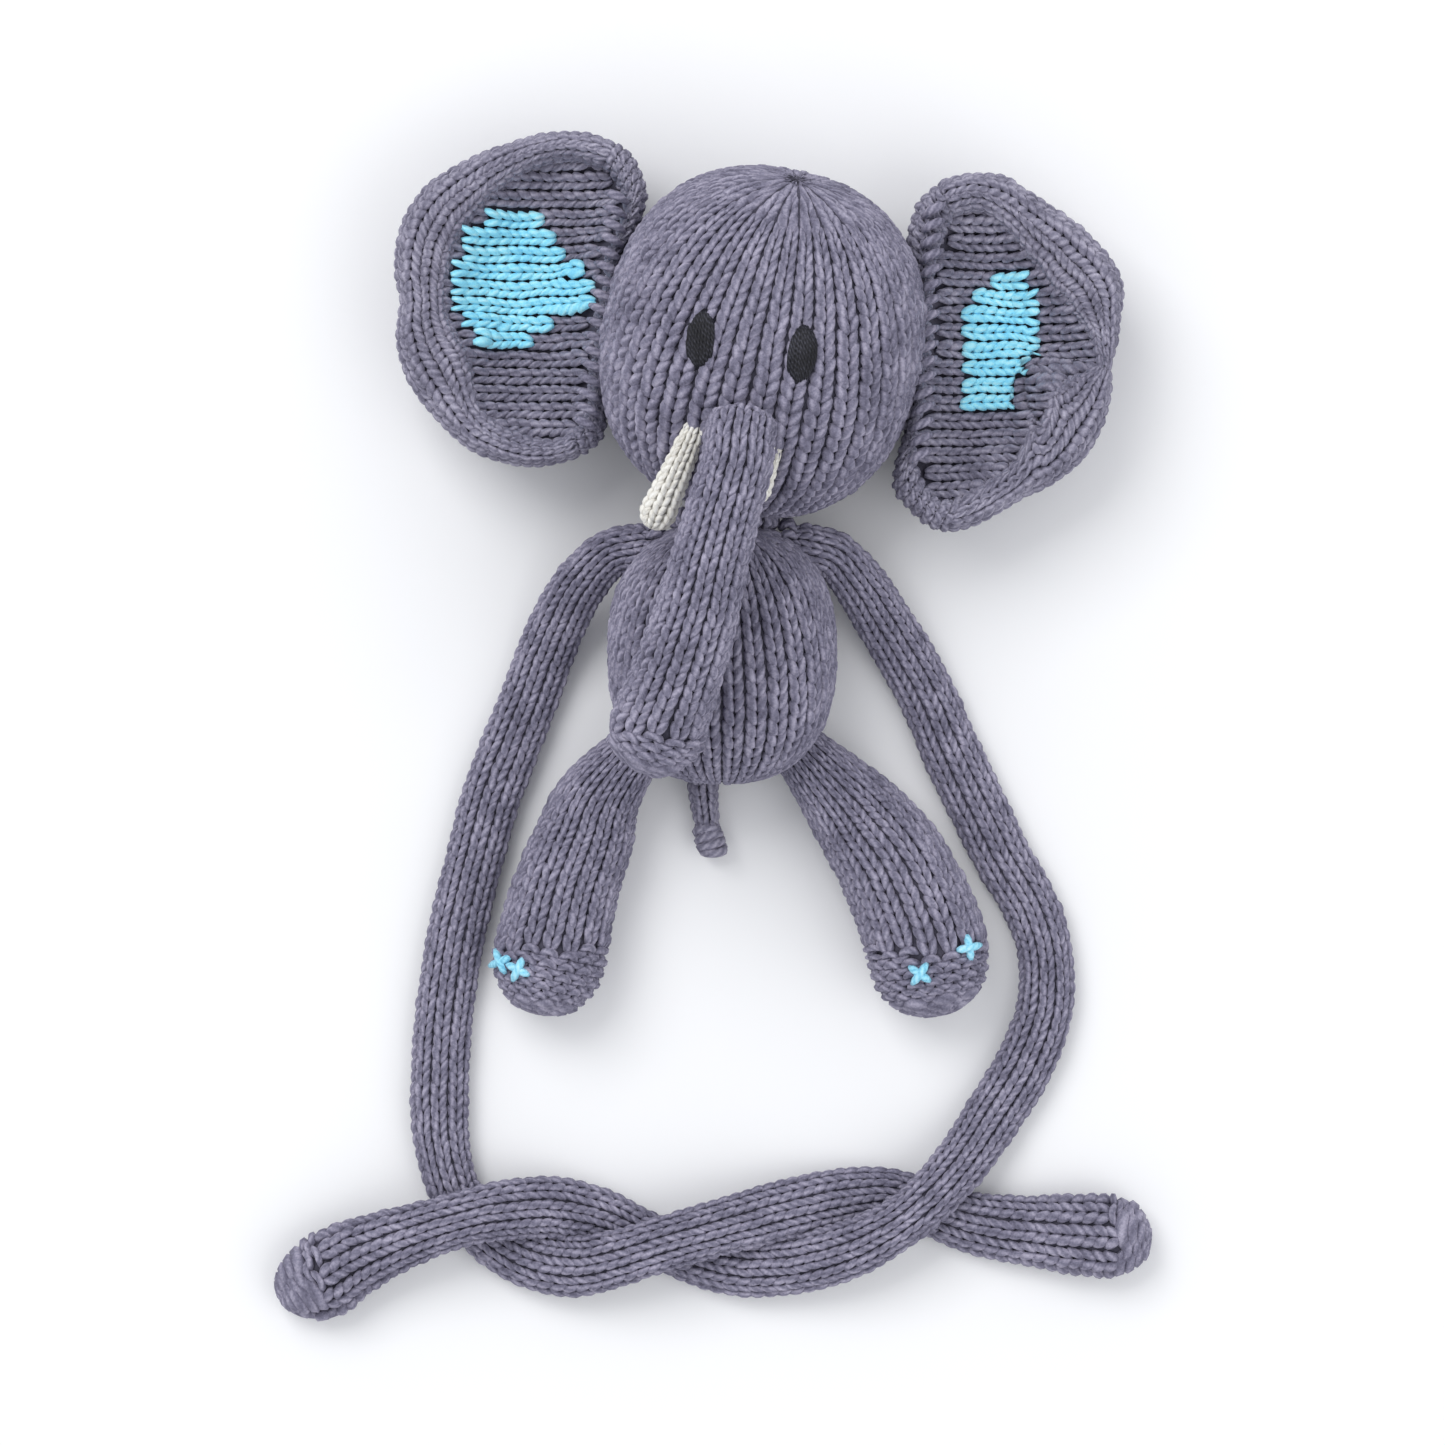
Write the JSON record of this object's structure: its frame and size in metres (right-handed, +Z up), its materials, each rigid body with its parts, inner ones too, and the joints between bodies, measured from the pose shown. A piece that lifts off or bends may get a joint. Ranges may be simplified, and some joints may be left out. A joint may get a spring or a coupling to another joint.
{
  "type": "stuffed elephant",
  "caption": "Hand-knitted stuffed elephant lying on its back, with cupped ears, a long trunk, splayed legs and long limp arms twisted round each other.",
  "frame": {"origin": "middle of the bounding box in plan, on the surface that the toy lies on", "axes": "+X across the toy to the viewer's right, +Y from the feet to the crown of the head, +Z up out of the face and belly"},
  "size_m": [0.2228, 0.3001, 0.0772],
  "materials": {
    "grey_yarn": "stockinette knit, cotton yarn",
    "ear_yarn": "stockinette knit, cotton yarn",
    "blue_yarn": "intarsia knit patch, cotton yarn",
    "cream_yarn": "stockinette knit, cotton yarn",
    "black_yarn": "satin stitch embroidery",
    "sewing_yarn": "plied yarn",
    "stuffing": "polyester fibre filling"
  },
  "bodies": {
    "torso": {"body_cover": "grey_yarn", "body_stuffing": "stuffing"},
    "neck": {"neck_stuffing": "stuffing", "neck_seam": "sewing_yarn"},
    "head": {"head_cover": "grey_yarn", "head_stuffing": "stuffing", "crown_gather": "sewing_yarn", "eye_left": "black_yarn", "eye_right": "black_yarn", "ear_left_seam": "sewing_yarn", "ear_right_seam": "sewing_yarn"},
    "trunk_upper": {"trunk_upper_cover": "grey_yarn", "trunk_upper_stuffing": "stuffing"},
    "trunk_lower": {"trunk_lower_cover": "grey_yarn", "trunk_lower_stuffing": "stuffing", "trunk_tip_cap": "grey_yarn"},
    "tail": {"tail_cord": "grey_yarn", "tail_knot": "grey_yarn"},
    "ear_left": {"ear_left_back": "ear_yarn", "ear_left_lining": "ear_yarn", "ear_left_patch": "blue_yarn"},
    "tusk_left": {"tusk_left": "cream_yarn"},
    "arm_left_upper": {"arm_left_upper_cover": "grey_yarn", "arm_left_upper_stuffing": "stuffing", "arm_left_shoulder_seam": "sewing_yarn"},
    "arm_left_lower": {"arm_left_lower_cover": "grey_yarn", "arm_left_lower_stuffing": "stuffing", "arm_left_hand": "grey_yarn"},
    "hip_left": {"leg_left_hip_seam": "sewing_yarn"},
    "leg_left": {"leg_left_cover": "grey_yarn", "leg_left_stuffing": "stuffing", "foot_left_cap": "grey_yarn", "foot_left_toes": "blue_yarn"},
    "ear_right": {"ear_right_back": "ear_yarn", "ear_right_lining": "ear_yarn", "ear_right_patch": "blue_yarn"},
    "tusk_right": {"tusk_right": "cream_yarn"},
    "arm_right_upper": {"arm_right_upper_cover": "grey_yarn", "arm_right_upper_stuffing": "stuffing", "arm_right_shoulder_seam": "sewing_yarn"},
    "arm_right_lower": {"arm_right_lower_cover": "grey_yarn", "arm_right_lower_stuffing": "stuffing", "arm_right_hand": "grey_yarn"},
    "hip_right": {"leg_right_hip_seam": "sewing_yarn"},
    "leg_right": {"leg_right_cover": "grey_yarn", "leg_right_stuffing": "stuffing", "foot_right_cap": "grey_yarn", "foot_right_toes": "blue_yarn"}
  },
  "joints": [
    {"name": "neck_nod", "type": "hinge", "parent": "torso", "child": "neck", "pos_m": [0.004, 0.054, 0.024], "axis": [1, 0, 0], "range_deg": [-25, 0]},
    {"name": "neck_turn", "type": "hinge", "parent": "neck", "child": "head", "pos_m": [0.004, 0.054, 0.024], "axis": [0, 1, 0], "range_deg": [-20, 25]},
    {"name": "ear_left_flap", "type": "hinge", "parent": "head", "child": "ear_left", "pos_m": [-0.031, 0.076, 0.034], "axis": [0.1386, 0.9903, 0], "range_deg": [-10, 50]},
    {"name": "ear_right_flap", "type": "hinge", "parent": "head", "child": "ear_right", "pos_m": [0.0529, 0.068, 0.034], "axis": [-0.0568, -0.9984, 0], "range_deg": [-10, 50]},
    {"name": "trunk_lift", "type": "hinge", "parent": "head", "child": "trunk_upper", "pos_m": [0.00825, 0.076, 0.067], "axis": [-1, 0, 0], "range_deg": [0, 80]},
    {"name": "trunk_curl", "type": "hinge", "parent": "trunk_upper", "child": "trunk_lower", "pos_m": [0, 0.04, 0.0774], "axis": [-1, 0, 0], "range_deg": [0, 60]},
    {"name": "tusk_left_swing", "type": "hinge", "parent": "head", "child": "tusk_left", "pos_m": [-0.0034, 0.0742, 0.0584], "axis": [0, 0, -1], "range_deg": [-2, 9]},
    {"name": "tusk_right_swing", "type": "hinge", "parent": "head", "child": "tusk_right", "pos_m": [0.0166, 0.0704, 0.0582], "axis": [0, 0, 1], "range_deg": [-2, 9]},
    {"name": "shoulder_left_lift", "type": "hinge", "parent": "torso", "child": "arm_left_upper", "pos_m": [-0.0175, 0.047, 0.024], "axis": [-1, 0, 0], "range_deg": [0, 90]},
    {"name": "shoulder_right_lift", "type": "hinge", "parent": "torso", "child": "arm_right_upper", "pos_m": [0.0245, 0.047, 0.024], "axis": [-1, 0, 0], "range_deg": [0, 90]},
    {"name": "elbow_left_fold", "type": "hinge", "parent": "arm_left_upper", "child": "arm_left_lower", "pos_m": [-0.0685, -0.094, 0.0093], "axis": [-1, 0, 0], "range_deg": [0, 90]},
    {"name": "elbow_right_fold", "type": "hinge", "parent": "arm_right_upper", "child": "arm_right_lower", "pos_m": [0.0745, -0.094, 0.0093], "axis": [-1, 0, 0], "range_deg": [0, 90]},
    {"name": "hip_left_close", "type": "hinge", "parent": "torso", "child": "hip_left", "pos_m": [-0.02, -0.0056, 0.0135], "axis": [0, 0, 1], "range_deg": [0, 18]},
    {"name": "hip_right_close", "type": "hinge", "parent": "torso", "child": "hip_right", "pos_m": [0.0245, -0.0056, 0.0135], "axis": [0, 0, -1], "range_deg": [0, 18]},
    {"name": "leg_left_lift", "type": "hinge", "parent": "hip_left", "child": "leg_left", "pos_m": [-0.02, -0.0056, 0.0135], "axis": [-1, 0, 0], "range_deg": [0, 50]},
    {"name": "leg_right_lift", "type": "hinge", "parent": "hip_right", "child": "leg_right", "pos_m": [0.0245, -0.0056, 0.0135], "axis": [-1, 0, 0], "range_deg": [0, 50]},
    {"name": "tail_swing", "type": "hinge", "parent": "torso", "child": "tail", "pos_m": [-0.0016, -0.0095, 0.0064], "axis": [0, 0, 1], "range_deg": [-20, 20]}
  ],
  "couplings": [
    {"joint": "shoulder_right_lift", "follows": "shoulder_left_lift", "ratio": 1},
    {"joint": "elbow_right_fold", "follows": "elbow_left_fold", "ratio": 1}
  ]
}
